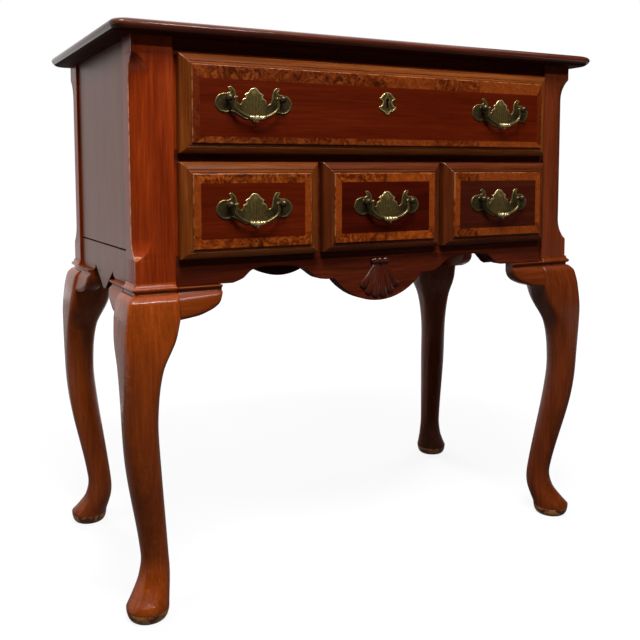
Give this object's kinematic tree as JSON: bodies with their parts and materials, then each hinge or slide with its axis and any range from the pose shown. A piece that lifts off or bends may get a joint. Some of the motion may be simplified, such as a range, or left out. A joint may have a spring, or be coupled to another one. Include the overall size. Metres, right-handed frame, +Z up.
{
  "type": "lowboy",
  "caption": "Low chest of drawers on cabriole legs with pad feet, scalloped aprons, a carved shell, lipped drawers that slide and swinging brass bail pulls.",
  "frame": {"origin": "centre of the bounding box, on the floor between the feet", "axes": "+X to the right seen from the front, +Y to the back, +Z up; the drawers face -Y"},
  "size_m": [0.777, 0.4041, 0.7576],
  "materials": {
    "case_wood": "polished reddish brown hardwood",
    "top_wood": "polished reddish brown hardwood",
    "leg_wood": "polished orange brown hardwood",
    "front_wood": "polished veneer with figured cross-banding",
    "inner_wood": "plain planed softwood",
    "brass": "aged cast brass",
    "steel": "dull steel"
  },
  "bodies": {
    "case": {"top_board": "top_wood", "post_front_left": "case_wood", "post_front_right": "case_wood", "post_rear_left": "case_wood", "post_rear_right": "case_wood", "leg_front_left": "leg_wood", "leg_front_right": "leg_wood", "leg_rear_left": "leg_wood", "leg_rear_right": "leg_wood", "leg_dowels": "inner_wood", "side_panel_left": "case_wood", "side_panel_right": "case_wood", "side_apron_left": "case_wood", "side_apron_right": "case_wood", "front_apron": "case_wood", "back_apron": "case_wood", "back_panel": "inner_wood", "top_rail": "case_wood", "divider_rail": "case_wood", "front_stiles": "case_wood", "drawer_partitions": "inner_wood", "front_knee_blocks": "leg_wood", "back_knee_blocks": "leg_wood", "side_knee_blocks": "leg_wood", "shell_carving": "case_wood", "long_drawer_runners": "inner_wood", "short_drawer_runners": "inner_wood", "top_cleats": "inner_wood", "top_screws": "steel"},
    "long_drawer": {"long_drawer_front": "front_wood", "long_drawer_sides": "inner_wood", "long_drawer_back": "inner_wood", "long_drawer_bottom": "inner_wood", "long_drawer_pull_plates": "brass", "escutcheon": "brass", "lock_case": "steel"},
    "left_drawer": {"left_drawer_front": "front_wood", "left_drawer_sides": "inner_wood", "left_drawer_back": "inner_wood", "left_drawer_bottom": "inner_wood", "left_drawer_pull_plates": "brass"},
    "middle_drawer": {"middle_drawer_front": "front_wood", "middle_drawer_sides": "inner_wood", "middle_drawer_back": "inner_wood", "middle_drawer_bottom": "inner_wood", "middle_drawer_pull_plates": "brass"},
    "right_drawer": {"right_drawer_front": "front_wood", "right_drawer_sides": "inner_wood", "right_drawer_back": "inner_wood", "right_drawer_bottom": "inner_wood", "right_drawer_pull_plates": "brass"},
    "long_drawer_bail_left": {"long_drawer_bail_left": "brass"},
    "long_drawer_bail_right": {"long_drawer_bail_right": "brass"},
    "left_drawer_bail": {"left_drawer_bail": "brass"},
    "middle_drawer_bail": {"middle_drawer_bail": "brass"},
    "right_drawer_bail": {"right_drawer_bail": "brass"},
    "lock_bolt": {"lock_bolt": "steel"}
  },
  "joints": [
    {"name": "long_drawer_slide", "type": "slide", "parent": "case", "child": "long_drawer", "axis": [0, -1, 0], "range_m": [0, 0.24]},
    {"name": "left_drawer_slide", "type": "slide", "parent": "case", "child": "left_drawer", "axis": [0, -1, 0], "range_m": [0, 0.24]},
    {"name": "middle_drawer_slide", "type": "slide", "parent": "case", "child": "middle_drawer", "axis": [0, -1, 0], "range_m": [0, 0.24]},
    {"name": "right_drawer_slide", "type": "slide", "parent": "case", "child": "right_drawer", "axis": [0, -1, 0], "range_m": [0, 0.24]},
    {"name": "long_drawer_bail_left_swing", "type": "hinge", "parent": "long_drawer", "child": "long_drawer_bail_left", "pos_m": [-0.20425, -0.19685, 0.667], "axis": [-1, 0, 0], "range_deg": [-8, 100]},
    {"name": "long_drawer_bail_right_swing", "type": "hinge", "parent": "long_drawer", "child": "long_drawer_bail_right", "pos_m": [0.20425, -0.19685, 0.667], "axis": [-1, 0, 0], "range_deg": [-8, 100]},
    {"name": "left_drawer_bail_swing", "type": "hinge", "parent": "left_drawer", "child": "left_drawer_bail", "pos_m": [-0.20425, -0.19685, 0.532], "axis": [-1, 0, 0], "range_deg": [-8, 100]},
    {"name": "middle_drawer_bail_swing", "type": "hinge", "parent": "middle_drawer", "child": "middle_drawer_bail", "pos_m": [0, -0.19685, 0.532], "axis": [-1, 0, 0], "range_deg": [-8, 100]},
    {"name": "right_drawer_bail_swing", "type": "hinge", "parent": "right_drawer", "child": "right_drawer_bail", "pos_m": [0.20425, -0.19685, 0.532], "axis": [-1, 0, 0], "range_deg": [-8, 100]},
    {"name": "lock_bolt_slide", "type": "slide", "parent": "long_drawer", "child": "lock_bolt", "axis": [0, 0, 1], "range_m": [0, 0.008]}
  ]
}
